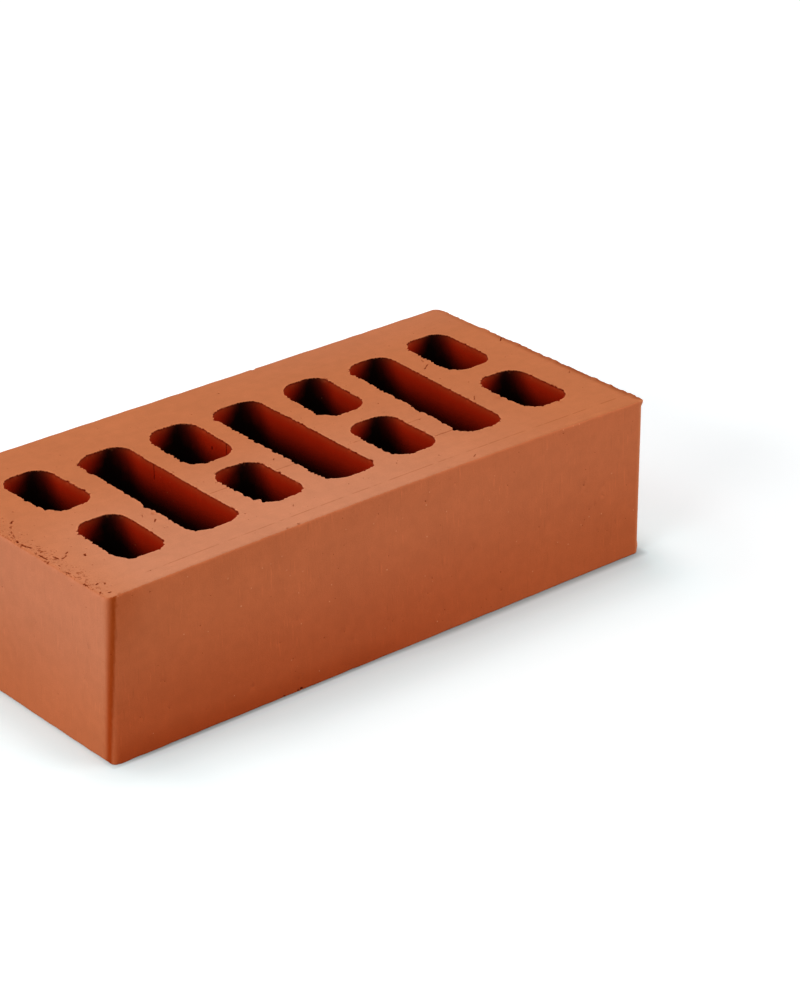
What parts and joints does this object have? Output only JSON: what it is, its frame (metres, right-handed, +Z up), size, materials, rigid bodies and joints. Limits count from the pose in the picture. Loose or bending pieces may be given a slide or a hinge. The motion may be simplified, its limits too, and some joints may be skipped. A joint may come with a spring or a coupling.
{
  "type": "clay brick",
  "caption": "Fired clay facing brick in the standard single format, with staggered rounded slots running through it from bed to bed.",
  "frame": {"origin": "centre of the lower bed face, where the brick rests", "axes": "+X along the length, +Y across the width, +Z up through the slots"},
  "size_m": [0.25, 0.12, 0.065],
  "materials": {
    "fired_clay": "matte, unglazed red-orange fired clay"
  },
  "bodies": {
    "root": {"brick": "fired_clay"}
  },
  "joints": []
}
